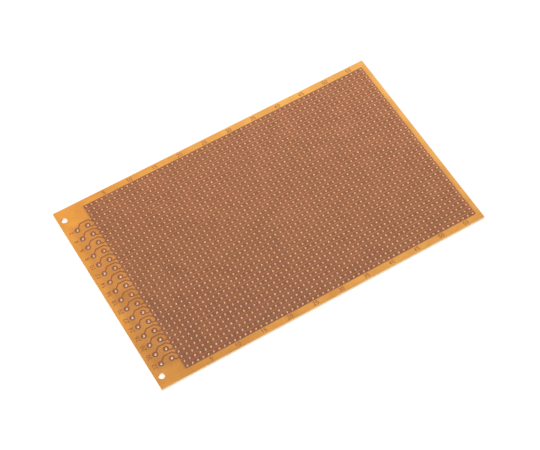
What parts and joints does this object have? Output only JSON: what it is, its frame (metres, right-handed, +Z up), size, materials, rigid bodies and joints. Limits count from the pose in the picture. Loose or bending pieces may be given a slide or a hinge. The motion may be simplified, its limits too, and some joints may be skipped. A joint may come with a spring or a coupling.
{
  "type": "prototype board",
  "caption": "Rectangular single-sided strip board with parallel copper strips, a grid of holes and a two-row edge-connector footprint at one end.",
  "frame": {"origin": "middle of the underside of the board, on the surface it lies on", "axes": "+X along the copper strips, away from the connector end; +Y across the strips, towards contact 2; +Z up out of the copper side"},
  "size_m": [0.16, 0.1, 0.0015],
  "materials": {
    "laminate": "amber phenolic paper laminate, slightly translucent, satin surface",
    "copper": null
  },
  "bodies": {
    "root": {"laminate": "laminate", "pin_numbers": "copper", "near_column_numbers": "copper", "far_column_numbers": "copper", "strip_01": "copper", "strip_02": "copper", "strip_03": "copper", "strip_04": "copper", "strip_05": "copper", "strip_06": "copper", "strip_07": "copper", "strip_08": "copper", "strip_09": "copper", "strip_10": "copper", "strip_11": "copper", "strip_12": "copper", "strip_13": "copper", "strip_14": "copper", "strip_15": "copper", "strip_16": "copper", "strip_17": "copper", "strip_18": "copper", "strip_19": "copper", "strip_20": "copper", "strip_21": "copper", "strip_22": "copper", "strip_23": "copper", "strip_24": "copper", "strip_25": "copper", "strip_26": "copper", "strip_27": "copper", "strip_28": "copper", "strip_29": "copper", "strip_30": "copper", "strip_31": "copper", "strip_32": "copper", "strip_33": "copper", "strip_34": "copper", "strip_35": "copper", "strip_36": "copper", "strip_37": "copper"}
  },
  "joints": []
}
